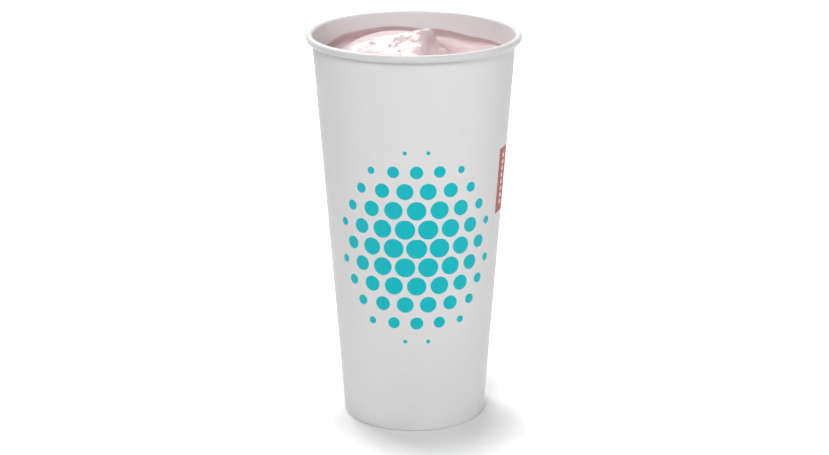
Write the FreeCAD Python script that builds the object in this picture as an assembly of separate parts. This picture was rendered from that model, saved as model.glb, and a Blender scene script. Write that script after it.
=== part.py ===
"""A tall paper cup filled with thick strawberry milkshake.

Three pieces, as the real thing is made: a wrap of coated paperboard that is rolled outwards
into the lip and folded inwards at the foot, a bottom disc whose skirt is sealed inside that
fold, and the milkshake, whose top is heaped into a soft mound with a peak.

Millimetres. +Z is up and -Y is the front. The origin is on the cup's axis, on the table.
"""

import FreeCAD
import Part

import math
import os
from collections import namedtuple

# ---- the cup's overall sizes --------------------------------------------------------------
CUP_HEIGHT = 166.0         # from the table to the top of the rolled lip
LIP_DIAMETER = 90.0        # outside of the rolled lip
FOOT_DIAMETER = 60.4       # outside of the wall where it folds under

# ---- paperboard ---------------------------------------------------------------------------
BOARD = 0.40               # thickness of the coated board
SEAL_GAP = 0.05            # heat-sealed joint between two layers of board

# ---- rolled lip ---------------------------------------------------------------------------
LIP_ROLL_WIDTH = 2.9       # across the roll, from the inside of the cup to its outer edge
LIP_FLAT = 0.55            # straight run on the outer side of the roll
LIP_CURL_GAP = 0.10        # between the end of the curl and the wall
LIP_CURL_TURN = 168.0      # degrees that the curl turns under the flat

# ---- foot and bottom disc -----------------------------------------------------------------
HEM_HEIGHT = 8.0           # wall material folded up inside the foot
BOTTOM_RECESS = 9.5        # from the table to the underside of the disc
DISC_BEND = 0.8            # mid-line radius of the bend from disc to skirt

# ---- side seam, on the back of the cup ----------------------------------------------------
SEAM_ANGLE = 90.0          # degrees from +X, so 90 is the back
SEAM_WIDTH = 7.0           # where the wrap lies double
SEAM_RAMP = 6.0            # where the outer layer runs back down onto the wall
SEAM_LIP_GAP = 0.4         # between the double layer and the lip's curl

# ---- milkshake ----------------------------------------------------------------------------
FILL_BELOW_LIP = 11.0      # from the top of the lip down to the milkshake at the wall
FILL_GAP = 0.05            # milkshake to board
SURFACE_STEP = 2.4         # spacing of the points that the top surface runs through

Swell = namedtuple("Swell", "x y reach rise")
SWELLS = (
    Swell(-10.0, 10.0, 36.0, 5.6),    # the broad heap
    Swell(-2.0, 17.0, 24.0, 2.5),     # its crest
    Swell(-16.0, 15.0, 20.0, 1.6),    # left shoulder
    Swell(2.0, 8.0, 16.0, 1.6),       # foot of the peak
    Swell(6.6, 12.2, 9.5, 3.8),       # the peak
    Swell(18.0, 8.0, 16.0, -2.2),     # hollow beside the peak
    Swell(14.0, 20.0, 13.0, -1.6),    # valley behind it
    Swell(13.0, 3.0, 9.0, 1.4),       # fold that slid off the peak
    Swell(12.0, 36.0, 13.0, 1.2),     # where the mix climbs the back wall
    Swell(-38.0, 14.0, 14.0, -1.4),   # where it has drawn away at the left
    Swell(-20.0, -18.0, 17.0, 1.0),   # low swirl towards the front
)


# ---- small helpers ------------------------------------------------------------------------
def at(radius, height):
    """A point of a section, in the plane that holds the axis and +X."""
    return FreeCAD.Vector(radius, 0.0, height)


def heading_vector(heading):
    """The unit vector along a heading, in radians from the radial direction."""
    return at(math.cos(heading), math.sin(heading))


def strip_face(start, heading, moves, thickness):
    """The section of a bent strip, walked along its middle line.

    Each move is ("run", length) or ("bend", radius, degrees), where positive degrees turn left.
    """
    half = thickness / 2
    sides = {1: [], -1: []}
    here = start
    for move in moves:
        if move[0] == "run":
            there = here + heading_vector(heading) * move[1]
            aside = heading_vector(heading + math.pi / 2) * half
            for hand, edges in sides.items():
                edges.append(Part.LineSegment(here + aside * hand, there + aside * hand).toShape())
        else:
            radius, turn = move[1], math.radians(move[2])
            inner = 1 if turn > 0 else -1
            centre = here + heading_vector(heading + inner * math.pi / 2) * radius
            stops = [heading + turn * share - inner * math.pi / 2 for share in (0.0, 0.5, 1.0)]
            for hand, edges in sides.items():
                size = radius - hand * inner * half
                edges.append(Part.Arc(*[centre + heading_vector(stop) * size for stop in stops]).toShape())
            there = centre + heading_vector(stops[-1]) * radius
            heading += turn
        here = there
    first_ends = [edges[0].Vertexes[0].Point for edges in sides.values()]
    last_ends = [edges[-1].Vertexes[-1].Point for edges in sides.values()]
    caps = [Part.LineSegment(*ends).toShape() for ends in (first_ends, last_ends)]
    return Part.Face(Part.Wire(Part.__sortEdges__(sides[1] + sides[-1] + caps)))


def turned(face):
    """The solid that a section makes when it is turned once round the axis."""
    return face.revolve(FreeCAD.Vector(0, 0, 0), FreeCAD.Vector(0, 0, 1), 360.0)


def polygon_face(points):
    """A flat face with straight sides."""
    return Part.Face(Part.makePolygon(list(points) + [points[0]]))


# ---- the middle line of the wall ----------------------------------------------------------
# The wall runs straight from the foot's fold, on its left, to the lip's roll, on its right.
FOLD_RADIUS = BOARD + SEAL_GAP
ROLL_RADIUS = (LIP_ROLL_WIDTH - BOARD) / 2
CURL_RADIUS = ROLL_RADIUS - (BOARD + LIP_CURL_GAP) / 2

fold_centre = at(FOOT_DIAMETER / 2 - FOLD_RADIUS - BOARD / 2, FOLD_RADIUS + BOARD / 2)
roll_centre = at(LIP_DIAMETER / 2 - ROLL_RADIUS - BOARD / 2, CUP_HEIGHT - ROLL_RADIUS - BOARD / 2)
span = roll_centre - fold_centre
LEAN = math.acos((ROLL_RADIUS + FOLD_RADIUS) / span.Length) - math.atan2(span.z, span.x)
UPWARDS = math.pi / 2 - LEAN
WALL_RUN = math.sqrt(span.Length**2 - (ROLL_RADIUS + FOLD_RADIUS) ** 2)
LIP_BOTTOM = roll_centre.z - LIP_FLAT * math.cos(LEAN) - CURL_RADIUS - BOARD / 2


def wall_radius(height, offset=0.0):
    """Radius of the wall at a height, with an offset outwards from its middle line."""
    along = (height - fold_centre.z) * math.sin(LEAN)
    return fold_centre.x + (FOLD_RADIUS + offset + along) / math.cos(LEAN)


# ---- pieces -------------------------------------------------------------------------------
def seam_outline(height):
    """The seam's outline at a height: doubled layer, step at one edge, ramp at the other."""
    outer = wall_radius(height, 1.5 * BOARD)
    root = wall_radius(height)
    ramp_foot = wall_radius(height, 0.45 * BOARD)

    def beside_middle(radius, width):
        angle = math.radians(SEAM_ANGLE) + width / outer
        return FreeCAD.Vector(radius * math.cos(angle), radius * math.sin(angle), height)

    step = -SEAM_WIDTH / 2
    ramp_top = SEAM_WIDTH / 2
    ramp_end = ramp_top + SEAM_RAMP
    outer_arc = [beside_middle(outer, width) for width in (step, 0.0, ramp_top)]
    ramp_point = beside_middle(ramp_foot, ramp_end)
    root_arc = [beside_middle(root, width) for width in (ramp_top, 0.0, step)]
    return Part.Wire([
        Part.Arc(*outer_arc).toShape(),
        Part.LineSegment(outer_arc[-1], ramp_point).toShape(),
        Part.LineSegment(ramp_point, root_arc[0]).toShape(),
        Part.Arc(*root_arc).toShape(),
        Part.LineSegment(root_arc[-1], outer_arc[0]).toShape(),
    ])


def side_seam():
    """The doubled strip and its ramp, rooted half a board deep in the wall."""
    heights = (fold_centre.z, LIP_BOTTOM - SEAM_LIP_GAP)
    return Part.makeLoft([seam_outline(height) for height in heights], True, True)


def cup_sidewall():
    """Hem, fold, wall, lip and seam: one wrap of board."""
    downwards = UPWARDS - math.pi
    hem_run = (HEM_HEIGHT - fold_centre.z) / math.cos(LEAN)
    start = fold_centre - heading_vector(UPWARDS - math.pi / 2) * FOLD_RADIUS
    start += heading_vector(UPWARDS) * hem_run
    section = strip_face(start, downwards, [
        ("run", hem_run),
        ("bend", FOLD_RADIUS, 180.0),
        ("run", WALL_RUN),
        ("bend", ROLL_RADIUS, -180.0),
        ("run", LIP_FLAT),
        ("bend", CURL_RADIUS, -LIP_CURL_TURN),
    ], BOARD)
    return turned(section).fuse(side_seam()).removeSplitter()


def cup_bottom():
    """The disc and its skirt, which stands in the fold between wall and hem."""
    disc_level = BOTTOM_RECESS + BOARD / 2
    bend_level = disc_level - DISC_BEND
    rise = (bend_level - fold_centre.z) * math.sin(LEAN)
    bend_radius = fold_centre.x + (rise - DISC_BEND) / math.cos(LEAN)
    bend_end = at(bend_radius, bend_level) + heading_vector(UPWARDS - math.pi / 2) * DISC_BEND
    skirt_run = (bend_end - fold_centre).dot(heading_vector(UPWARDS)) - SEAL_GAP
    section = strip_face(at(0.0, disc_level), 0.0, [
        ("run", bend_radius),
        ("bend", DISC_BEND, -math.degrees(math.pi - UPWARDS)),
        ("run", skirt_run),
    ], BOARD)
    return turned(section)


def surface_height(x, y, level):
    """Height of the milkshake's top at a point: the level and every swell that reaches it."""
    height = level
    for swell in SWELLS:
        near = 1.0 - math.hypot(x - swell.x, y - swell.y) / swell.reach
        if near > 0.0:
            height += swell.rise * near * near * (3.0 - 2.0 * near)
    return height


def milkshake():
    """The fill between the disc and its heaped top."""
    level = CUP_HEIGHT - FILL_BELOW_LIP
    floor = BOTTOM_RECESS + BOARD + FILL_GAP
    inset = -BOARD / 2 - FILL_GAP
    inside = turned(polygon_face([
        at(0.0, floor),
        at(wall_radius(floor, inset), floor),
        at(wall_radius(CUP_HEIGHT, inset), CUP_HEIGHT),
        at(0.0, CUP_HEIGHT),
    ]))
    half_side = LIP_DIAMETER / 2 + SURFACE_STEP
    count = math.ceil(2 * half_side / SURFACE_STEP)
    stations = [half_side * (2 * index / count - 1) for index in range(count + 1)]
    rows = [[FreeCAD.Vector(x, y, surface_height(x, y, level)) for y in stations] for x in stations]
    surface = Part.BSplineSurface()
    surface.interpolate(rows)
    below = surface.toShape().extrude(FreeCAD.Vector(0, 0, -CUP_HEIGHT))
    return inside.common(below)


def main():
    """Makes each piece and writes it to parts/."""
    os.makedirs("parts", exist_ok=True)
    for make in (cup_sidewall, cup_bottom, milkshake):
        shape = make()
        solids = shape.Solids
        if len(solids) != 1 or not solids[0].isValid():
            raise ValueError(f"{make.__name__}: {len(solids)} solids, or not valid")
        solids[0].exportStep(f"parts/{make.__name__}.step")
        box = solids[0].BoundBox
        print(f"{make.__name__}: {solids[0].Volume / 1000:.2f} ml, z {box.ZMin:.2f} to {box.ZMax:.2f}")


main()
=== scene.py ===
"""A tall paper cup filled with thick strawberry milkshake.

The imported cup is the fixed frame. The wrap, the bottom disc and the milkshake are modelled again
here, each in the place of its solid, so that the board has its print, its raw edges and its side
seam, and the milkshake its froth, its soft peak and the film that it leaves on the wall.

Metres. +Z is up and -Y is the front.
"""
import logging
import math
from dataclasses import dataclass, field
from enum import Enum
from typing import Callable, Optional, Sequence

import bmesh
import bpy
from bpy.types import Material, Node, NodeSocket, NodeTree, Object
from mathutils import Matrix, Vector


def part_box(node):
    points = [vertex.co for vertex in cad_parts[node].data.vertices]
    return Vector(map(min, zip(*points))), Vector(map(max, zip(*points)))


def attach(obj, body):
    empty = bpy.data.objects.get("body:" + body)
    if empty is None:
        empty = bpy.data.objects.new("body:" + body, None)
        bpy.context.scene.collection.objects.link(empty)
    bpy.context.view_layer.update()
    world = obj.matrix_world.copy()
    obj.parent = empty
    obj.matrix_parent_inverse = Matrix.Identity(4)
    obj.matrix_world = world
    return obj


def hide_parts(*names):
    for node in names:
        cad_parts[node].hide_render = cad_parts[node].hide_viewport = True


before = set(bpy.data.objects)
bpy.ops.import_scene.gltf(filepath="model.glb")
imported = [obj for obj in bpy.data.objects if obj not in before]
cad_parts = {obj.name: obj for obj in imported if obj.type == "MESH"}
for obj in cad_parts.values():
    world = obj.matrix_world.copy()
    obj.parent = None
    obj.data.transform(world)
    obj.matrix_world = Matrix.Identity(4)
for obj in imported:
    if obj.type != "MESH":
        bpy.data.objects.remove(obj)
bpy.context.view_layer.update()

MM = 0.001
ORIGIN = (0.0, 0.0, 0.0)
TAB_RADIUS = 37.9 * MM
FILL_BELOW_LIP = 11.0 * MM
FILL_GAP = 0.02 * MM
FOOT_BAND = 0.7 * MM
Colour = tuple[float, float, float, float]
WHITE = (1.0, 1.0, 1.0, 1.0)

log = logging.getLogger("milkshake")


# ---- modelling by hand ----
class Part(Enum):
    """Which elements of a mesh a selection picks."""

    POINTS = "VERT"
    EDGES = "EDGE"
    FACES = "FACE"


def start_object(name: str) -> Object:
    """Names the primitive that was just added.

    Args:
        name: The new object's name.

    Returns:
        The object.
    """
    obj = bpy.context.active_object
    obj.name = name
    obj.data.name = name
    return obj


def clear_selection() -> None:
    """Deselects every object."""
    bpy.ops.object.select_all(action="DESELECT")


def activate(obj: Object) -> None:
    """Selects an object, and no other, and makes it the active one."""
    clear_selection()
    obj.select_set(True)
    bpy.context.view_layer.objects.active = obj


def edit(obj: Object, part: Part = Part.POINTS) -> None:
    """Opens an object, and no other, in edit mode.

    Args:
        obj: The object to shape.
        part: What selections pick.
    """
    if bpy.context.mode != "OBJECT":
        bpy.ops.object.mode_set(mode="OBJECT")
    activate(obj)
    bpy.ops.object.mode_set(mode="EDIT")
    bpy.ops.mesh.select_mode(type=part.value)


def leave_edit() -> None:
    """Goes back to object mode."""
    bpy.ops.object.mode_set(mode="OBJECT")


def pick(obj: Object, part: Part, wanted: Callable[..., bool]) -> int:
    """Selects the elements that pass a test, and only those.

    Args:
        obj: The object that is open in edit mode.
        part: Whether points, edges or faces are tested.
        wanted: The test, given the element.

    Returns:
        How many elements passed.
    """
    bpy.ops.mesh.select_mode(type=part.value)
    bpy.ops.mesh.select_all(action="DESELECT")
    shape = bmesh.from_edit_mesh(obj.data)
    elements = {Part.POINTS: shape.verts, Part.EDGES: shape.edges, Part.FACES: shape.faces}[part]
    count = 0
    for element in elements:
        if not element.hide and wanted(element):
            element.select_set(True)
            count += 1
    shape.select_flush_mode()
    bmesh.update_edit_mesh(obj.data, loop_triangles=False, destructive=False)
    return count


def apply_modifier(obj: Object, kind: str, **settings: object) -> None:
    """Adds a modifier, sets it and applies it.

    Args:
        obj: The object to change.
        kind: The modifier's type.
        **settings: Its settings.
    """
    activate(obj)
    modifier = obj.modifiers.new(kind.lower(), kind)
    for key, value in settings.items():
        setattr(modifier, key, value)
    bpy.ops.object.modifier_apply(modifier=modifier.name)


def next_ring(rise: float, growth: float) -> None:
    """Extrudes the selected ring upwards and scales the new one about the axis.

    Args:
        rise: How far up the new ring lies.
        growth: Its radius over the old ring's.
    """
    bpy.ops.mesh.extrude_edges_move(TRANSFORM_OT_translate={"value": (0.0, 0.0, rise)})
    bpy.ops.transform.resize(value=(growth, growth, 1.0), center_override=ORIGIN)


def soft_move(push: Vector, reach: float) -> None:
    """Moves what is selected, and what lies within reach of it less and less.

    Args:
        push: How far, and which way.
        reach: Where the move has faded out.
    """
    bpy.ops.transform.translate(value=push, use_proportional_edit=True,
                                proportional_edit_falloff="SMOOTH", proportional_size=reach)


def soften_edges(obj: Object, **settings: object) -> None:
    """Rounds the board's cut edges a little, and smooths the rest.

    Args:
        obj: The piece of board.
        **settings: Further settings of the bevel.
    """
    apply_modifier(obj, "BEVEL", width=0.05 * MM, segments=2, limit_method="ANGLE",
                   angle_limit=math.radians(50.0), **settings)
    shade(obj, 40.0)


def shade(obj: Object, sharp_above: float) -> None:
    """Smooths an object's shading but for its sharp edges.

    Args:
        obj: The object.
        sharp_above: Edges that turn by more than this many degrees stay sharp.
    """
    activate(obj)
    bpy.ops.object.shade_smooth_by_angle(angle=math.radians(sharp_above))


def hand_over(piece: Object, node: str) -> None:
    """Gives a finished piece its place in the frame and reports it.

    Args:
        piece: The finished piece.
        node: The solid that it stands for.
    """
    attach(piece, "root")
    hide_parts(node)
    triangles = sum(len(face.vertices) - 2 for face in piece.data.polygons)
    log.info("%s stands for %s: %d triangles", piece.name, node, triangles)


# ---- material graphs ----
Value = object


class Graph:
    """Adds nodes to a material's or a group's node tree."""

    def __init__(self, tree: NodeTree) -> None:
        """Keeps the tree that nodes are added to."""
        self.tree = tree

    def feed(self, socket: NodeSocket, value: Value) -> None:
        """Links a socket to another, or sets its value, which may be None for no change."""
        if isinstance(value, NodeSocket):
            self.tree.links.new(value, socket)
        elif value is not None:
            socket.default_value = value

    def fill_in(self, node: Node, inputs: dict) -> None:
        """Feeds a node's inputs, given by name or number."""
        for key, value in inputs.items():
            self.feed(node.inputs[key], value)

    def node(self, kind: str, inputs: Optional[dict] = None, **settings: object) -> Node:
        """Adds a node.

        Args:
            kind: The node's type.
            inputs: Values or sockets for its inputs, by name or number.
            **settings: Its other settings.

        Returns:
            The node.
        """
        made = self.tree.nodes.new(kind)
        for key, value in settings.items():
            setattr(made, key, value)
        self.fill_in(made, inputs or {})
        return made

    def math(self, operation: str, *values: Value, clamp: bool = False) -> NodeSocket:
        """Adds a Math node and returns its result."""
        inputs = dict(enumerate(values))
        return self.node("ShaderNodeMath", inputs, operation=operation, use_clamp=clamp).outputs[0]

    def times(self, first: Value, second: Value) -> NodeSocket:
        """Multiplies two values."""
        return self.math("MULTIPLY", first, second)

    def ramp(self, value: Value, low: float, high: float, start: float = 0.0,
             end: float = 1.0) -> NodeSocket:
        """Turns a value from low to high smoothly into one from start to end."""
        inputs = {"Value": value, "From Min": low, "From Max": high, "To Min": start, "To Max": end}
        made = self.node("ShaderNodeMapRange", inputs, interpolation_type="SMOOTHSTEP")
        return made.outputs["Result"]

    def blend(self, share: Value, first: Value, second: Value, mode: str = "MIX") -> NodeSocket:
        """Mixes a share of the second colour into the first."""
        made = self.node("ShaderNodeMix", data_type="RGBA", blend_type=mode)
        self.fill_in(made, {0: share, 6: first, 7: second})
        return made.outputs[2]

    def noise(self, vector: Value, scale: float, detail: float = 3.0) -> NodeSocket:
        """Adds a noise texture and returns its value."""
        inputs = {"Vector": vector, "Scale": scale, "Detail": detail}
        return self.node("ShaderNodeTexNoise", inputs).outputs[0]

    def bump(self, shader: Node, strength: float, distance: float, height: Value) -> None:
        """Gives a shader a bump."""
        inputs = {"Strength": strength, "Distance": distance, "Height": height}
        self.feed(shader.inputs["Normal"], self.node("ShaderNodeBump", inputs).outputs[0])

    def object_place(self) -> NodeSocket:
        """The place on the object, in metres."""
        return self.node("ShaderNodeTexCoord").outputs["Object"]

    def group(self, tree: NodeTree, **inputs: Value) -> Node:
        """Places a node group and feeds its inputs, given by name."""
        made = self.node("ShaderNodeGroup", node_tree=tree)
        self.fill_in(made, inputs)
        return made


def srgb(red: int, green: int, blue: int) -> Colour:
    """A linear colour for the shaders, from the usual 0 to 255 numbers."""
    def linear(level: int) -> float:
        """One channel."""
        share = level / 255
        return share / 12.92 if share <= 0.04045 else ((share + 0.055) / 1.055) ** 2.4

    return (linear(red), linear(green), linear(blue), 1.0)


def new_group(name: str, inputs: Sequence[tuple[str, str, Value]],
              outputs: Sequence[tuple[str, str]]) -> tuple[Graph, Node, Node]:
    """Starts a shader node group.

    Args:
        name: The group's name.
        inputs: Each input's name, socket type and default value.
        outputs: Each output's name and socket type.

    Returns:
        The group's graph, its input node and its output node.
    """
    tree = bpy.data.node_groups.new(name, "ShaderNodeTree")
    for label, kind, value in inputs:
        socket = tree.interface.new_socket(label, in_out="INPUT", socket_type=kind)
        if value is not None:
            socket.default_value = value
    for label, kind in outputs:
        tree.interface.new_socket(label, in_out="OUTPUT", socket_type=kind)
    graph = Graph(tree)
    return graph, graph.node("NodeGroupInput"), graph.node("NodeGroupOutput")


def new_material(name: str) -> tuple[Material, Graph, Node]:
    """Starts a material.

    Args:
        name: The material's name.

    Returns:
        The material, its graph and its Principled BSDF node.
    """
    material = bpy.data.materials.new(name)
    material.use_nodes = True
    return material, Graph(material.node_tree), material.node_tree.nodes["Principled BSDF"]


def cup_place_group() -> NodeTree:
    """Makes the group that unrolls the cup: across from the front's middle, and up.

    Returns:
        The group. Across is measured in metres along the wall at that height, and Turned along
        a circle as wide as the wall is at the label, so that its lines run straight up the wall.
    """
    graph, _, end = new_group("cup place", (), (
        ("Across", "NodeSocketFloat"), ("Up", "NodeSocketFloat"), ("Turned", "NodeSocketFloat"),
    ))
    parts = graph.node("ShaderNodeSeparateXYZ", {0: graph.object_place()}).outputs
    angle = graph.math("ARCTAN2", parts[0], graph.times(parts[1], -1.0))
    square = graph.math("ADD", graph.times(parts[0], parts[0]),
                        graph.times(parts[1], parts[1]))
    across = graph.times(angle, graph.math("SQRT", square))
    graph.feed(end.inputs["Across"], across)
    graph.feed(end.inputs["Up"], parts[2])
    graph.feed(end.inputs["Turned"], graph.times(angle, TAB_RADIUS))
    return graph.tree


def board_grain_group() -> NodeTree:
    """Makes the paperboard's grain: felted fibres, a cloudy formation and a few dark specks.

    Returns:
        The group. Tint is a factor for the colour, and Height and Gloss are from 0 to 1.
    """
    graph, start, end = new_group("board grain", (
        ("Vector", "NodeSocketVector", None), ("Depth", "NodeSocketFloat", 0.03),
    ), (
        ("Tint", "NodeSocketColor"), ("Height", "NodeSocketFloat"), ("Gloss", "NodeSocketFloat"),
    ))
    place = start.outputs["Vector"]
    cloud = graph.noise(place, 130.0, 3.0)
    fibres = graph.node("ShaderNodeMapping", {"Vector": place, "Scale": (1.0, 1.0, 0.35)})
    felt = graph.noise(fibres.outputs[0], 1500.0, 4.0)
    speck = graph.ramp(graph.noise(place, 900.0, 1.0), 0.74, 0.8)
    depth = start.outputs["Depth"]
    low = graph.math("SUBTRACT", 1.0, depth)
    mottle = graph.math("MULTIPLY_ADD", graph.math("ADD", cloud, felt), depth, low)
    tone = graph.math("SUBTRACT", mottle, graph.times(speck, graph.times(depth, 0.8)))
    tint = graph.node("ShaderNodeCombineColor", {0: tone, 1: tone, 2: tone})
    height = graph.math("ADD", graph.times(felt, 0.65), graph.times(cloud, 0.35))
    graph.feed(end.inputs["Tint"], tint.outputs[0])
    graph.feed(end.inputs["Height"], height)
    graph.feed(end.inputs["Gloss"], cloud)
    return graph.tree


@dataclass(frozen=True)
class DotField:
    """The printed motif: staggered round dots that shrink away from the middle of an oval."""

    middle_across: float = 1.0 * MM
    middle_up: float = 83.0 * MM
    half_width: float = 38.0 * MM
    half_height: float = 43.0 * MM
    pitch: float = 9.6 * MM
    largest: float = 4.35 * MM
    soft_edge: float = 0.09 * MM
    fade_power: float = 2.2
    growth_power: float = 0.55
    least: float = 0.02

    def group(self) -> NodeTree:
        """Makes the group that masks the dots.

        Returns:
            The group. Mask is 1 in a dot and 0 between.
        """
        graph, start, end = new_group("dot field", (
            ("Across", "NodeSocketFloat", 0.0), ("Up", "NodeSocketFloat", 0.0),
        ), (("Mask", "NodeSocketFloat"),))
        row_pitch = self.pitch * math.sqrt(3) / 2
        across = graph.math("SUBTRACT", start.outputs["Across"], self.middle_across)
        up = graph.math("SUBTRACT", start.outputs["Up"], self.middle_up)
        row = graph.math("ROUND", graph.math("DIVIDE", up, row_pitch))
        stagger = graph.times(graph.math("PINGPONG", row, 1.0), 0.5)
        columns = graph.math("DIVIDE", across, self.pitch)
        column = graph.math("ADD", graph.math("ROUND", graph.math("SUBTRACT", columns, stagger)), stagger)
        dot_across = graph.times(column, self.pitch)
        dot_up = graph.times(row, row_pitch)
        size = self._dot_size(graph, dot_across, dot_up)
        away = self._length(graph, graph.math("SUBTRACT", across, dot_across),
                            graph.math("SUBTRACT", up, dot_up))
        inside = graph.math("SUBTRACT", size, away)
        graph.feed(end.inputs["Mask"], graph.ramp(inside, -self.soft_edge, self.soft_edge))
        return graph.tree

    @staticmethod
    def _length(graph: Graph, first: Value, second: Value) -> NodeSocket:
        """The length of a flat vector."""
        return graph.math("SQRT", graph.math("ADD", graph.times(first, first),
                                             graph.times(second, second)))

    def _dot_size(self, graph: Graph, dot_across: Value, dot_up: Value) -> NodeSocket:
        """Works out a dot's radius from where it stands in the oval.

        Args:
            graph: The group's graph.
            dot_across: The dot's place across.
            dot_up: The dot's place upwards.

        Returns:
            The radius, and less than nothing where no dot is printed.
        """
        out = self._length(graph, graph.math("DIVIDE", dot_across, self.half_width),
                           graph.math("DIVIDE", dot_up, self.half_height))
        fade = graph.math("SUBTRACT", 1.0, graph.math("POWER", out, self.fade_power), clamp=True)
        grown = graph.times(graph.math("POWER", fade, self.growth_power), self.largest)
        shown = graph.math("GREATER_THAN", fade, self.least)
        return graph.math("SUBTRACT", graph.times(grown, shown),
                          graph.times(graph.math("SUBTRACT", 1.0, shown), self.largest))


@dataclass(frozen=True)
class SideTab:
    """The small upright label at the right: a plain block with a column of pale dashes."""

    left: float = 43.4 * MM
    width: float = 9.6 * MM
    bottom: float = 91.7 * MM
    height: float = 28.4 * MM
    column_at: float = 48.2 * MM
    dash_width: float = 2.1 * MM
    dash_height: float = 1.8 * MM
    dash_pitch: float = 2.9 * MM
    margin: float = 2.4 * MM
    soft_edge: float = 0.08 * MM

    def group(self) -> NodeTree:
        """Makes the group that masks the label and its dashes.

        Returns:
            The group. Block and Dashes are 1 inside and 0 outside.
        """
        graph, start, end = new_group("side tab", (
            ("Across", "NodeSocketFloat", 0.0), ("Up", "NodeSocketFloat", 0.0),
        ), (("Block", "NodeSocketFloat"), ("Dashes", "NodeSocketFloat")))
        across, up = start.outputs["Across"], start.outputs["Up"]
        block = self._band(graph, across, self.left + self.width / 2, self.width / 2)
        tall = self._band(graph, up, self.bottom + self.height / 2, self.height / 2)
        column = self._band(graph, across, self.column_at, self.dash_width / 2)
        steps = graph.math("DIVIDE", graph.math("SUBTRACT", up, self.bottom), self.dash_pitch)
        in_step = graph.math("SUBTRACT", graph.math("FRACT", steps), 0.5)
        dash = self._band(graph, graph.times(in_step, self.dash_pitch), 0.0, self.dash_height / 2)
        run = self._band(graph, up, self.bottom + self.height / 2, self.height / 2 - self.margin)
        dashes = graph.times(graph.times(column, dash), run)
        graph.feed(end.inputs["Block"], graph.times(block, tall))
        graph.feed(end.inputs["Dashes"], dashes)
        return graph.tree

    def _band(self, graph: Graph, value: Value, middle: float, half: float) -> NodeSocket:
        """1 where a value is within half a width of a middle."""
        away = graph.math("ABSOLUTE", graph.math("SUBTRACT", value, middle))
        return graph.ramp(away, half - self.soft_edge, half + self.soft_edge, 1.0, 0.0)


# ---- finishes ----
@dataclass(frozen=True)
class BoardFinish:
    """White coated paperboard."""

    name: str
    colour: Colour
    roughness: float = 0.55
    grain_depth: float = 0.03
    gloss_spread: float = 0.04
    specular: float = 0.5
    bump: float = 0.12
    bump_height: float = 0.02 * MM

    def build(self, grain: NodeTree) -> Material:
        """Makes the material.

        Args:
            grain: The board grain group.

        Returns:
            The material.
        """
        material, graph, shader = new_material(self.name)
        fibres = graph.group(grain, Vector=graph.object_place(), Depth=self.grain_depth).outputs
        surface = self._surface(graph, fibres["Height"])
        graph.feed(shader.inputs["Base Color"], graph.blend(1.0, surface, fibres["Tint"], "MULTIPLY"))
        low, high = self.roughness - self.gloss_spread, self.roughness + self.gloss_spread
        graph.feed(shader.inputs["Roughness"], graph.ramp(fibres["Gloss"], 0.3, 0.7, low, high))
        shader.inputs["Specular IOR Level"].default_value = self.specular
        graph.bump(shader, self.bump, self.bump_height, fibres["Height"])
        return material

    def _surface(self, graph: Graph, felt: NodeSocket) -> Value:
        """The colour that the grain tints: here the board's own."""
        return self.colour


@dataclass(frozen=True)
class PrintedFinish(BoardFinish):
    """The outside of the wrap: board with the dots and the side label printed on it."""

    dots: DotField = DotField()
    tab: SideTab = SideTab()
    dot_ink: Colour = srgb(0, 190, 200)
    tab_ink: Colour = srgb(179, 88, 82)

    def _surface(self, graph: Graph, felt: NodeSocket) -> Value:
        """The board's colour with the print over it, thinner where the felt lies low."""
        place = graph.group(cup_place_group()).outputs
        dots = graph.group(self.dots.group(), Across=place["Across"], Up=place["Up"]).outputs["Mask"]
        tab = graph.group(self.tab.group(), Across=place["Turned"], Up=place["Up"]).outputs
        ink = graph.blend(tab["Block"], self.dot_ink, self.tab_ink)
        label = graph.math("SUBTRACT", tab["Block"], tab["Dashes"], clamp=True)
        cover = graph.math("MAXIMUM", dots, label)
        uneven = graph.ramp(felt, 0.25, 0.45, 0.93, 1.0)
        return graph.blend(graph.times(cover, uneven), self.colour, ink)


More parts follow.
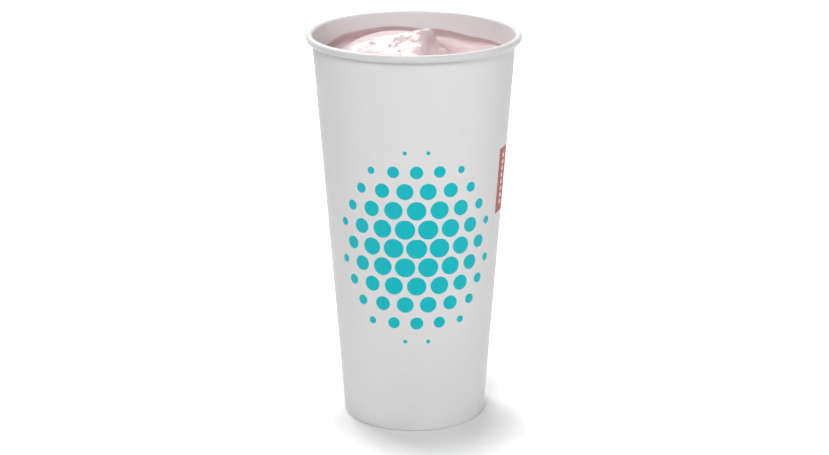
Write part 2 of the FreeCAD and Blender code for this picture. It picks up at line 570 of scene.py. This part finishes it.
@dataclass(frozen=True)
class MilkshakeFinish:
    """Wet, creamy pink milkshake, rosier as a film on the wall, and rosier in the hollow beside the peak
    as painted shade.
    """

    name: str = "milkshake"
    cream: Colour = srgb(214, 197, 196)
    rose: Colour = srgb(210, 186, 186)
    # darker rose of the film on the wall, also mixed into the hollow beside the peak as painted shade
    film: Colour = srgb(194, 163, 165)
    roughness: float = 0.13
    roughness_spread: float = 0.12
    refraction: float = 1.36
    scatter: float = 0.25
    scatter_reach: float = 2.5 * MM
    scatter_tint: tuple[float, float, float] = (1.0, 0.55, 0.5)
    swirl_scale: float = 120.0
    cloud_scale: float = 420.0
    foam_scale: float = 1500.0
    foam_bump: float = 0.35
    foam_height: float = 0.12 * MM
    # painted shade: a ball beside the peak, in metres on the object, inside which the film's darker rose
    # is mixed into the body colour, strongest at its middle
    painted_shade_centre: tuple[float, float, float] = (0.0130, 0.0165, 0.1545)
    painted_shade_reach: float = 12.0 * MM
    painted_shade_strength: float = 0.95

    def build(self) -> Material:
        """Makes the material.

        Returns:
            The material.
        """
        material, graph, shader = new_material(self.name)
        place = graph.object_place()
        swirl = graph.noise(place, self.swirl_scale, 4.0)
        cloud = graph.noise(place, self.cloud_scale, 3.0)
        body = graph.blend(graph.ramp(swirl, 0.35, 0.68), self.cream, self.rose)
        fleck = graph.blend(graph.ramp(cloud, 0.5, 0.75, 0.0, 0.35), body, self.cream)
        wall = graph.node("ShaderNodeAttribute", attribute_name="wall_film").outputs["Fac"]
        # painted shade: the film's darker rose is mixed in around a point beside the peak and fades out
        # with distance from it
        away = graph.node("ShaderNodeVectorMath", {0: place, 1: self.painted_shade_centre}, operation="DISTANCE")
        painted_shade = graph.ramp(away.outputs["Value"], 0.3 * self.painted_shade_reach, self.painted_shade_reach,
                         self.painted_shade_strength, 0.0)
        body_with_painted_shade = graph.blend(painted_shade, fleck, self.film)
        gloss = graph.ramp(cloud, 0.3, 0.7, self.roughness, self.roughness + self.roughness_spread)
        graph.fill_in(shader, {
            "Base Color": graph.blend(wall, body_with_painted_shade, self.film), "Roughness": gloss,
            "Subsurface Weight": self.scatter, "Subsurface Radius": self.scatter_tint,
            "Subsurface Scale": self.scatter_reach, "IOR": self.refraction,
        })
        foam = graph.math("ADD", graph.noise(place, self.foam_scale, 3.0),
                          graph.times(cloud, 1.5))
        graph.bump(shader, self.foam_bump, self.foam_height, foam)
        return material


# ---- the paper cup ----
def unit(angle: float) -> Vector:
    """The flat vector of length 1 at an angle."""
    return Vector((math.cos(angle), math.sin(angle)))


class Section:
    """The middle line of a bent strip of board, walked in the plane of radius and height."""

    def __init__(self, radius: float, height: float, heading: float) -> None:
        """Starts at a point with a heading, in radians from the radial direction."""
        self.points = [Vector((radius, height))]
        self.heading = heading

    def run(self, length: float, steps: int = 1) -> None:
        """Goes straight on.

        Args:
            length: How far.
            steps: In how many points.
        """
        along = unit(self.heading)
        here = self.points[-1]
        self.points += [here + along * length * step / steps for step in range(1, steps + 1)]

    def bend(self, radius: float, degrees: float, steps: int) -> None:
        """Goes round an arc.

        Args:
            radius: The arc's radius.
            degrees: How far it turns, with left positive.
            steps: In how many points.
        """
        turn = math.radians(degrees)
        side = math.copysign(math.pi / 2, turn)
        centre = self.points[-1] + unit(self.heading + side) * radius
        for step in range(1, steps + 1):
            angle = self.heading + turn * step / steps - side
            self.points.append(centre + unit(angle) * radius)
        self.heading += turn


@dataclass
class PaperCup:
    """The sizes that the wrap and the bottom disc share, and how each is folded."""

    height: float
    lip_radius: float
    foot_radius: float
    recess: float
    board: float = 0.40 * MM
    seal_gap: float = 0.05 * MM
    roll_width: float = 2.9 * MM
    roll_flat: float = 0.55 * MM
    curl_gap: float = 0.10 * MM
    curl_turn: float = 168.0
    hem_height: float = 8.0 * MM
    disc_bend: float = 0.8 * MM
    seam_width: float = 7.0 * MM
    seam_ramp: float = 6.0 * MM
    seam_start: float = 0.4 * MM
    ramp_drop: float = 0.95
    angle_slack: float = 0.002
    crimp_start: float = 1.2 * MM
    crimp_margin: float = 0.6 * MM
    crimp_depth: float = 0.12 * MM
    centre_hole: float = 0.4 * MM
    around: int = 256
    fold_radius: float = field(init=False)
    roll_radius: float = field(init=False)
    curl_radius: float = field(init=False)
    fold_centre: Vector = field(init=False)
    roll_centre: Vector = field(init=False)
    lean: float = field(init=False)
    wall_run: float = field(init=False)

    def __post_init__(self) -> None:
        """Works out the wall's lean from the fold at the foot and the roll at the lip."""
        self.fold_radius = self.board + self.seal_gap
        self.roll_radius = (self.roll_width - self.board) / 2
        self.curl_radius = self.roll_radius - (self.board + self.curl_gap) / 2
        self.fold_centre = Vector((self.foot_radius - self.fold_radius - self.board / 2,
                                   self.fold_radius + self.board / 2))
        self.roll_centre = Vector((self.lip_radius - self.roll_radius - self.board / 2,
                                   self.height - self.roll_radius - self.board / 2))
        span = self.roll_centre - self.fold_centre
        both = self.roll_radius + self.fold_radius
        self.lean = math.acos(both / span.length) - math.atan2(span.y, span.x)
        self.wall_run = math.sqrt(span.length_squared - both * both)

    @property
    def upwards(self) -> float:
        """The wall's heading, in radians from the radial direction."""
        return math.pi / 2 - self.lean

    def wall_radius(self, height: float, offset: float = 0.0) -> float:
        """The wall's radius at a height.

        Args:
            height: The height.
            offset: How far outwards from the board's middle.

        Returns:
            The radius.
        """
        along = (height - self.fold_centre.y) * math.sin(self.lean)
        return self.fold_centre.x + (self.fold_radius + offset + along) / math.cos(self.lean)

    def inside(self, height: float) -> float:
        """The radius of the wall's inner face at a height."""
        return self.wall_radius(height, -self.board / 2)

    def _sheet(self, name: str, points: Sequence[Vector]) -> Object:
        """Turns a section into a round sheet, ring by ring.

        Args:
            name: The new object's name.
            points: The section, as radius and height.

        Returns:
            The sheet, open in edit mode with its last ring selected.
        """
        clear_selection()
        bpy.ops.mesh.primitive_circle_add(vertices=self.around, radius=points[0].x, location=ORIGIN)
        sheet = start_object(name)
        edit(sheet)
        bpy.ops.mesh.select_all(action="SELECT")
        bpy.ops.transform.translate(value=(0.0, 0.0, points[0].y))
        for here, there in zip(points, points[1:]):
            next_ring(there.y - here.y, there.x / here.x)
        return sheet

    def wrap(self) -> Object:
        """Models the wrap: hem, fold, wall and rolled lip, with the lap seam at the back.

        Returns:
            The finished mesh, with slots for the printed face, the coated face and raw edges.
        """
        hem_run = (self.hem_height - self.fold_centre.y) / math.cos(self.lean)
        inwards = unit(self.upwards + math.pi / 2)
        start = self.fold_centre + inwards * self.fold_radius + unit(self.upwards) * hem_run
        section = Section(start.x, start.y, self.upwards - math.pi)
        section.run(hem_run, 6)
        section.bend(self.fold_radius, 180.0, 8)
        section.run(self.wall_run, 28)
        section.bend(self.roll_radius, -180.0, 14)
        section.run(self.roll_flat, 1)
        section.bend(self.curl_radius, -self.curl_turn, 12)
        wrap = self._sheet("cup_wrap", section.points)
        leave_edit()
        self._thicken(wrap)
        self._lay_seam(wrap)
        self._crimp_hem(wrap)
        soften_edges(wrap, loop_slide=True)
        return wrap

    def _thicken(self, sheet: Object) -> None:
        """Gives a sheet the board's thickness, half to each side, and a raw edge.

        Args:
            sheet: The sheet.
        """
        for _ in range(3):
            sheet.data.materials.append(None)
        apply_modifier(sheet, "SOLIDIFY", thickness=self.board, offset=0.0, use_even_offset=True,
                       material_offset=1, material_offset_rim=2)

    def _lay_seam(self, wrap: Object) -> None:
        """Raises the outer layer of the lap seam at the back, with a cut edge and a ramp.

        Args:
            wrap: The thickened wrap.
        """
        low = self.fold_centre.y + self.seam_start
        high = self.roll_centre.y - self.roll_flat - self.curl_radius - self.board
        middle = self.wall_radius((low + high) / 2, self.board / 2)
        cut, ramp_top = -self.seam_width / 2 / middle, self.seam_width / 2 / middle
        ramp_end = (self.seam_width / 2 + self.seam_ramp) / middle
        edit(wrap)
        for angle in (cut, ramp_top, ramp_end):
            pick(wrap, Part.FACES, lambda face: face.calc_center_median().y > 0.0)
            bpy.ops.mesh.bisect(plane_co=ORIGIN, plane_no=(math.cos(angle), math.sin(angle), 0.0))

        def on_seam(face: bmesh.types.BMFace) -> bool:
            """Whether a face is outside on the wall, between cut edge and ramp end."""
            place = face.calc_center_median()
            around = math.atan2(-place.x, place.y)
            off_wall = abs(math.hypot(place.x, place.y) - self.wall_radius(place.z, self.board / 2))
            return off_wall < self.board / 4 and low < place.z < high and cut < around < ramp_end

        count = pick(wrap, Part.FACES, on_seam)
        bpy.ops.mesh.extrude_region_shrink_fatten(TRANSFORM_OT_shrink_fatten={"value": self.board})
        ramp_edge = ramp_end - self.angle_slack

        def at_ramp_end(point: bmesh.types.BMVert) -> bool:
            """Whether a selected point is on the far edge of the ramp."""
            return point.select and math.atan2(-point.co.x, point.co.y) > ramp_edge

        shape = bmesh.from_edit_mesh(wrap.data)
        ends = {point.index for point in shape.verts if at_ramp_end(point)}
        pick(wrap, Part.POINTS, lambda point: point.index in ends)
        bpy.ops.transform.shrink_fatten(value=-self.ramp_drop * self.board)
        leave_edit()
        log.info("side seam: %d faces raised, %d points ramped down", count, len(ends))

    def _crimp_hem(self, wrap: Object) -> None:
        """Presses the knurling wheel's shallow grooves into the inside of the hem.

        Args:
            wrap: The thickened wrap.
        """
        edit(wrap)
        step = 2 * math.pi / self.around
        inner = self.fold_centre.x - self.fold_radius - self.board / 4

        def in_groove(point: bmesh.types.BMVert) -> bool:
            """Whether a point is on the hem's free face, in a groove."""
            around = math.atan2(point.co.x, point.co.y) / step
            low_enough = self.crimp_start < point.co.z < self.hem_height - self.crimp_margin
            drift = (point.co.z - self.fold_centre.y) * math.tan(self.lean)
            return low_enough and point.co.xy.length < inner + drift and round(around) % 4 < 2

        pick(wrap, Part.POINTS, in_groove)
        bpy.ops.transform.shrink_fatten(value=-self.crimp_depth)
        leave_edit()

    def bottom(self) -> Object:
        """Models the bottom disc and its skirt.

        Returns:
            The finished mesh, with slots for its underside, its coated top and its raw edge.
        """
        disc_level = self.recess + self.board / 2
        bend_level = disc_level - self.disc_bend
        rise = (bend_level - self.fold_centre.y) * math.sin(self.lean)
        bend_radius = self.fold_centre.x + (rise - self.disc_bend) / math.cos(self.lean)
        outwards = unit(self.upwards - math.pi / 2)
        bend_end = Vector((bend_radius, bend_level)) + outwards * self.disc_bend
        upwards = unit(self.upwards)
        skirt_run = (bend_end - self.fold_centre).dot(upwards) - self.seal_gap
        foot = bend_end - upwards * skirt_run
        section = Section(foot.x, foot.y, self.upwards)
        section.run(skirt_run, 5)
        section.bend(self.disc_bend, math.degrees(math.pi - self.upwards), 8)
        section.run(section.points[-1].x - self.centre_hole, 14)
        disc = self._sheet("cup_disc", section.points)
        bpy.ops.mesh.merge(type="CENTER")
        leave_edit()
        self._thicken(disc)
        soften_edges(disc)
        return disc


# ---- the milkshake ----
@dataclass(frozen=True)
class Pull:
    """One pull or push on the milkshake's top, in millimetres."""

    x: float
    y: float
    reach: float
    push: tuple[float, float, float]


HEAPING = (
    Pull(-9, 10, 34, (0, 0, 5.6)),  # the broad heap
    Pull(-2, 17, 24, (0, 0, 2.6)),  # its crest
    Pull(-19, 15, 18, (0, 0, 2.0)),  # left shoulder
    Pull(1, 8, 14, (0, 0, 2.0)),  # foot of the peak
    Pull(17, 7, 15, (0, 0, -2.2)),  # hollow beside the peak
    Pull(14, 20, 12, (0, 0, -1.4)),  # valley behind it
    Pull(11, -5, 12, (0, 0, -1.8)),  # steep flank towards the front
    Pull(10.5, 5.5, 5, (0, 0, 0.9)),  # fold that slid off the peak
    Pull(12, 36, 13, (0, 0, 1.4)),  # where the mix climbs the back wall
    Pull(-37, 19, 15, (0, 0, -1.9)),  # where it has drawn away at the left
    Pull(-20, -18, 17, (0, 0, 1.0)),  # low swirl towards the front
)
PEAK = (
    Pull(6.4, 12.0, 8.5, (0, 0, 3.7)),  # the peak
    Pull(1.0, 9.0, 5.0, (0, 0, 0.7)),  # its left foot
    Pull(7.2, 11.6, 4.6, (0.9, -0.7, 1.2)),  # its tip, leaning right and forwards
    Pull(8.6, 10.8, 3.6, (0.2, 0, -0.9)),  # the tip's right corner, rounded down
    Pull(10.0, 9.0, 3.4, (0.4, -0.3, 0.6)),  # the steep right side
    Pull(2.6, 8.6, 3.4, (-0.2, -0.5, 0.35)),  # a step in front of the tip
    Pull(12.8, 6.4, 4.8, (0.8, -0.2, 1.5)),  # the fold at its foot
    Pull(3.4, 5.0, 6.0, (0.3, 0, 1.1)),  # the ridge that runs forwards
    Pull(3.2, -1.5, 6.0, (0.4, 0, 1.2)),  # and its end
    Pull(-4.5, 3.0, 7.0, (0, 0, -0.8)),  # a dip left of the ridge
    Pull(-9.8, 0.7, 1.1, (0, 0, -0.45)),  # from here on, burst bubbles
    Pull(-7.3, 1.1, 1.1, (0, 0, -0.5)),
    Pull(-6.0, -3.0, 1.4, (0, 0, -0.45)),
    Pull(-18.0, 4.6, 1.8, (0, 0, -0.5)),
    Pull(-16.6, 3.0, 1.6, (0, 0, -0.4)),
    Pull(-20.2, 2.6, 2.2, (0, 0, 0.3)),  # and the rim of one
)


@dataclass(frozen=True)
class FilmPull:
    """One pull on the film's upper edge: azimuth from the back, reach and rise, in millimetres."""

    azimuth: float
    reach: float
    rise: float


FILM_LINE = (
    FilmPull(-2, 34, 1.5), FilmPull(-62, 22, 0.4), FilmPull(-84, 27, -1.5),
    FilmPull(72, 32, -1.2), FilmPull(22, 30, -2.1), FilmPull(62, 18, -0.5),
    FilmPull(140, 24, 0.9), FilmPull(185, 20, -0.7), FilmPull(-135, 26, 0.8),
)


@dataclass(frozen=True)
class Relief:
    """One clouded unevenness of the top: its grain, its depth, and where it lies."""

    name: str
    grain: float
    depth: float
    area: str


RELIEFS = (
    Relief("long waves", 10.0 * MM, 0.8 * MM, "waves"),
    Relief("curds", 3.0 * MM, 0.48 * MM, "froth"),
    Relief("bubbles", 1.0 * MM, 0.20 * MM, "froth"),
)


@dataclass
class Milkshake:
    """The fill: its heaped top, the meniscus and film at the wall, and the body inside.

    The middle and the reach of the froth are across and back, in millimetres.
    """

    cup: PaperCup
    level: float
    floor: float
    ring_points: int = 256
    froth_middle: tuple[float, float] = (-8.0, 3.0)
    froth_reach: tuple[float, float] = (27.0, 17.0)
    calm_edge: float = 6.0 * MM
    meniscus_steps: int = 5
    film_line_share: float = 0.5
    film_starts: float = 0.9
    film_blend: float = 0.5
    climb: float = 1.1 * MM
    film_rise: float = 2.3 * MM
    film_depth: float = 0.28 * MM
    bite: float = 0.18 * MM

    @property
    def top_radius(self) -> float:
        """The radius at which the top starts to climb the wall."""
        return self.cup.inside(self.level) - self.climb

    def build(self) -> Object:
        """Models the milkshake.

        Returns:
            The finished mesh.
        """
        shake = self._disc()
        self._sculpt(shake, HEAPING)
        apply_modifier(shake, "SUBSURF", levels=2, render_levels=2, boundary_smooth="PRESERVE_CORNERS")
        self._sculpt(shake, PEAK)
        self._froth(shake)
        self._close(shake)
        self._mark_film(shake)
        shade(shake, 180.0)
        return shake

    def _disc(self) -> Object:
        """Lays a flat round grid at the fill's level.

        Returns:
            The grid.
        """
        clear_selection()
        bpy.ops.mesh.primitive_circle_add(vertices=self.ring_points, radius=self.top_radius,
                                          location=ORIGIN)
        shake = start_object("milkshake_fill")
        edit(shake, Part.EDGES)
        bpy.ops.mesh.select_all(action="SELECT")
        bpy.ops.transform.translate(value=(0.0, 0.0, self.level))
        bpy.ops.mesh.fill_grid(span=self.ring_points // 4)
        leave_edit()
        return shake

    def _sculpt(self, shake: Object, pulls: Sequence[Pull]) -> None:
        """Pulls at the surface like a fingertip, one pull after another.

        Args:
            shake: The milkshake.
            pulls: Where each pull is, how far it reaches and which way it goes.
        """
        edit(shake)
        for pull in pulls:
            spot = Vector((pull.x, pull.y)) * MM
            shape = bmesh.from_edit_mesh(shake.data)
            nearest = min(shape.verts, key=lambda point: (point.co.xy - spot).length_squared)
            bpy.ops.mesh.select_all(action="DESELECT")
            nearest.select_set(True)
            bmesh.update_edit_mesh(shake.data, loop_triangles=False, destructive=False)
            soft_move(Vector(pull.push) * MM, pull.reach * MM)
        leave_edit()

    def _froth(self, shake: Object) -> None:
        """Roughens the top: low waves all over, and curdled froth on the heap.

        Args:
            shake: The sculpted top.
        """
        waves = shake.vertex_groups.new(name="waves")
        froth = shake.vertex_groups.new(name="froth")
        rim = self.top_radius
        for point in shake.data.vertices:
            inwards = min(1.0, (rim - point.co.xy.length) / self.calm_edge)
            if inwards <= 0.0:
                continue
            waves.add([point.index], inwards, "REPLACE")
            away = math.hypot((point.co.x / MM - self.froth_middle[0]) / self.froth_reach[0],
                              (point.co.y / MM - self.froth_middle[1]) / self.froth_reach[1])
            if away < 1.0:
                share = (1.0 - away * away) * inwards
                froth.add([point.index], share, "REPLACE")
        for relief in RELIEFS:
            texture = bpy.data.textures.new(relief.name, "CLOUDS")
            texture.noise_scale = relief.grain
            texture.noise_depth = 1
            apply_modifier(shake, "DISPLACE", texture=texture, strength=relief.depth, mid_level=0.5,
                           vertex_group=relief.area, texture_coords="LOCAL")

    def _close(self, shake: Object) -> None:
        """Runs the edge up the wall as meniscus and film, into the board, and down to the disc.

        Args:
            shake: The frothed top.
        """
        edit(shake)
        pick(shake, Part.EDGES, lambda edge: edge.is_boundary)
        radius = self.top_radius
        height = self.level
        reach = self.climb - self.film_depth
        for step in range(1, self.meniscus_steps + 1):
            turn = math.pi / 2 * step / self.meniscus_steps
            new_height = self.level + reach * (1 - math.cos(turn))
            lean = (new_height - self.level) * math.tan(self.cup.lean)
            new_radius = self.top_radius + reach * math.sin(turn) + lean
            next_ring(new_height - height, new_radius / radius)
            radius, height = new_radius, new_height
        for rise, depth in (
            (self.film_rise * 0.5, self.film_depth), (self.film_rise * 0.4, self.film_depth),
            (self.film_rise * 0.1, self.film_depth * 0.7), (self.film_depth * 0.3, 0.0),
            (0.0, -self.bite),
        ):
            new_height = height + rise
            new_radius = self.cup.inside(new_height) - depth
            next_ring(rise, new_radius / radius)
            radius, height = new_radius, new_height
            if depth == self.film_depth:
                self._draw_film_line(shake, height)
        bpy.ops.mesh.extrude_edges_move()
        bpy.ops.transform.resize(value=(1.0, 1.0, 0.0), center_override=(0.0, 0.0, self.floor))
        growth = (self.cup.inside(self.floor) + self.bite) / radius
        bpy.ops.transform.resize(value=(growth, growth, 1.0), center_override=ORIGIN)
        bpy.ops.mesh.edge_face_add()
        bpy.ops.mesh.select_all(action="SELECT")
        bpy.ops.mesh.normals_make_consistent(inside=False)
        leave_edit()

    def _draw_film_line(self, shake: Object, height: float) -> None:
        """Pulls the outermost ring up and down the wall, alone, and leaves it selected.

        Args:
            shake: The milkshake, open in edit mode with its outermost ring selected.
            height: The ring's nominal height.
        """
        bpy.ops.mesh.hide(unselected=True)
        for pull in FILM_LINE:
            angle = math.radians(pull.azimuth)
            outwards = Vector((math.sin(angle), math.cos(angle), 0.0))
            spot = (outwards * self.cup.inside(height)).xy
            shape = bmesh.from_edit_mesh(shake.data)
            ring = (point for point in shape.verts if not point.hide)
            nearest = min(ring, key=lambda point: (point.co.xy - spot).length_squared).index
            pick(shake, Part.POINTS, lambda point: point.index == nearest)
            rise = pull.rise * MM * self.film_line_share
            slide = outwards * rise * math.tan(self.cup.lean) + Vector((0.0, 0.0, rise))
            soft_move(slide, pull.reach * MM)
        bpy.ops.mesh.reveal(select=False)
        pick(shake, Part.EDGES, lambda edge: edge.is_boundary)

    def _mark_film(self, shake: Object) -> None:
        """Marks with an attribute where the milkshake is only a film on the wall.

        Args:
            shake: The closed milkshake.
        """
        film = shake.data.attributes.new("wall_film", "FLOAT", "POINT")
        top = self.cup.inside(self.level) - self.climb * self.film_starts
        for point in shake.data.vertices:
            lean = (point.co.z - self.level) * math.tan(self.cup.lean)
            share = (point.co.xy.length - lean - top) / (self.climb * self.film_blend)
            film.data[point.index].value = max(0.0, min(1.0, share))


# ---- studio ----
@dataclass(frozen=True)
class Softbox:
    """A square lamp that faces the cup: its place, its side and its power in watts."""

    name: str
    place: tuple[float, float, float]
    size: float
    power: float

    def hang(self, aim: Vector) -> None:
        """Hangs the lamp.

        Args:
            aim: The point that it faces.
        """
        lamp = bpy.data.lights.new(self.name, "AREA")
        lamp.size = self.size
        lamp.energy = self.power
        hung = bpy.data.objects.new(self.name, lamp)
        bpy.context.scene.collection.objects.link(hung)
        hung.location = self.place
        hung.rotation_euler = (aim - Vector(self.place)).to_track_quat("-Z", "Y").to_euler()


LAMPS = (
    Softbox("key", (-0.46, 0.68, 0.92), 0.40, 6.0),
    Softbox("behind", (-0.07, 0.60, 1.00), 0.50, 6.9),
    Softbox("overhead", (-0.10, -0.40, 1.20), 0.70, 1.4),
    Softbox("front", (-0.24, -1.38, 1.12), 0.80, 18.0),
    Softbox("right", (1.15, -0.25, 0.24), 0.50, 3.6),
)


@dataclass
class Studio:
    """The pale floor, the white surroundings, the lamps and the camera."""

    camera_distance: float = 0.930
    camera_height: float = 0.370
    camera_across: float = 0.00012
    look_down: float = 17.26
    tilt: float = -0.10
    lens: float = 99.27
    sensor: float = 36.0
    aim_height: float = 0.12
    floor_side: float = 6.0
    floor_colour: Colour = srgb(226, 226, 226)
    floor_roughness: float = 0.9
    shadow_from: float = 0.030
    shadow_to: float = 0.100
    least_glow: float = 0.04

    def set_up(self) -> None:
        """Builds the studio."""
        self._place_camera()
        self._lay_floor()
        self._light()
        bpy.context.scene.view_settings.view_transform = "Standard"

    def _place_camera(self) -> None:
        """Puts the camera in front of the cup, looking a little down on it."""
        camera = bpy.data.objects.new("camera", bpy.data.cameras.new("camera"))
        bpy.context.scene.collection.objects.link(camera)
        camera.location = (self.camera_across, -self.camera_distance, self.camera_height)
        pitch = Matrix.Rotation(math.radians(90.0 - self.look_down), 3, "X")
        roll = Matrix.Rotation(math.radians(self.tilt), 3, "Z")
        camera.rotation_euler = (pitch @ roll).to_euler()
        camera.data.lens = self.lens
        camera.data.sensor_width = self.sensor
        bpy.context.scene.camera = camera

    def _lay_floor(self) -> None:
        """Lays a large pale floor that keeps the cup's shadow close by and is painted plain white further
        off by a glow.
        """
        clear_selection()
        bpy.ops.mesh.primitive_plane_add(size=self.floor_side, location=ORIGIN)
        floor = start_object("floor")
        material, graph, shader = new_material("floor")
        graph.fill_in(shader, {"Base Color": self.floor_colour, "Roughness": self.floor_roughness,
                               "Specular IOR Level": 0.0})
        # painted light: for camera, glossy and transmission rays the floor glows, weakly near the cup and
        # fully from shadow_to outwards, which whitens the floor and cuts the cup's shadow short
        distance = graph.node("ShaderNodeVectorMath", {0: graph.object_place()}, operation="LENGTH")
        fade = graph.ramp(distance.outputs["Value"], self.shadow_from, self.shadow_to,
                          self.least_glow, 1.0)
        strength = graph.times(self._white_rays(graph), fade)
        painted_glow = graph.node("ShaderNodeEmission", {"Color": WHITE, "Strength": strength})
        both = graph.node("ShaderNodeAddShader", {0: shader.outputs[0], 1: painted_glow.outputs[0]})
        out = material.node_tree.nodes["Material Output"]
        graph.feed(out.inputs["Surface"], both.outputs[0])
        floor.data.materials.append(material)

    def _light(self) -> None:
        """Lights the cup from behind and in front, in surroundings that only look white."""
        world = bpy.data.worlds.new("surroundings")
        bpy.context.scene.world = world
        world.use_nodes = True
        background = world.node_tree.nodes["Background"]
        graph = Graph(world.node_tree)
        graph.fill_in(background, {"Color": WHITE, "Strength": self._white_rays(graph)})
        for lamp in LAMPS:
            lamp.hang(Vector((0.0, 0.0, self.aim_height)))

    @staticmethod
    def _white_rays(graph: Graph) -> NodeSocket:
        """1 for the rays that show the white surroundings: camera, glossy and transmission."""
        rays = graph.node("ShaderNodeLightPath").outputs
        bounced = graph.math("MAXIMUM", rays["Is Glossy Ray"], rays["Is Transmission Ray"])
        return graph.math("MAXIMUM", rays["Is Camera Ray"], bounced)


# ---- putting it together ----
def foot_radius() -> float:
    """Measures the radius at which the wall turns under, on the frame's own wrap.

    Returns:
        The radius.
    """
    points = (point.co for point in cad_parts["cup_sidewall"].data.vertices)
    low = [point for point in points if point.z < FOOT_BAND and point.y < 0.0]
    return max(point.xy.length for point in low)


def dress(piece: Object, materials: Sequence[Material]) -> None:
    """Puts materials into a piece's slots.

    Args:
        piece: The piece.
        materials: One material for each slot, in order.
    """
    for number, material in enumerate(materials):
        if number < len(piece.data.materials):
            piece.data.materials[number] = material
        else:
            piece.data.materials.append(material)


def main() -> None:
    """Builds every piece in order and reports it."""
    logging.basicConfig(level=logging.INFO, format="%(name)s: %(message)s")
    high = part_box("cup_sidewall")[1]
    disc_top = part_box("cup_bottom")[1].z
    cup = PaperCup(height=high.z, lip_radius=high.x, foot_radius=foot_radius(),
                   recess=disc_top - PaperCup.board)
    grain = board_grain_group()
    printed = PrintedFinish("printed board", srgb(232, 231, 232), specular=0.25).build(grain)
    coated = BoardFinish("coated board", srgb(221, 219, 221), roughness=0.33, gloss_spread=0.01,
                         specular=0.25).build(grain)
    raw = BoardFinish("raw board edge", srgb(226, 219, 206), roughness=0.85, grain_depth=0.08).build(grain)

    wrap = cup.wrap()
    dress(wrap, (printed, coated, raw))
    hand_over(wrap, "cup_sidewall")

    disc = cup.bottom()
    dress(disc, (coated, coated, raw))
    hand_over(disc, "cup_bottom")

    shake = Milkshake(cup, level=cup.height - FILL_BELOW_LIP, floor=disc_top + FILL_GAP).build()
    dress(shake, (MilkshakeFinish().build(),))
    hand_over(shake, "milkshake")

    Studio().set_up()


if __name__ == "__main__":
    main()
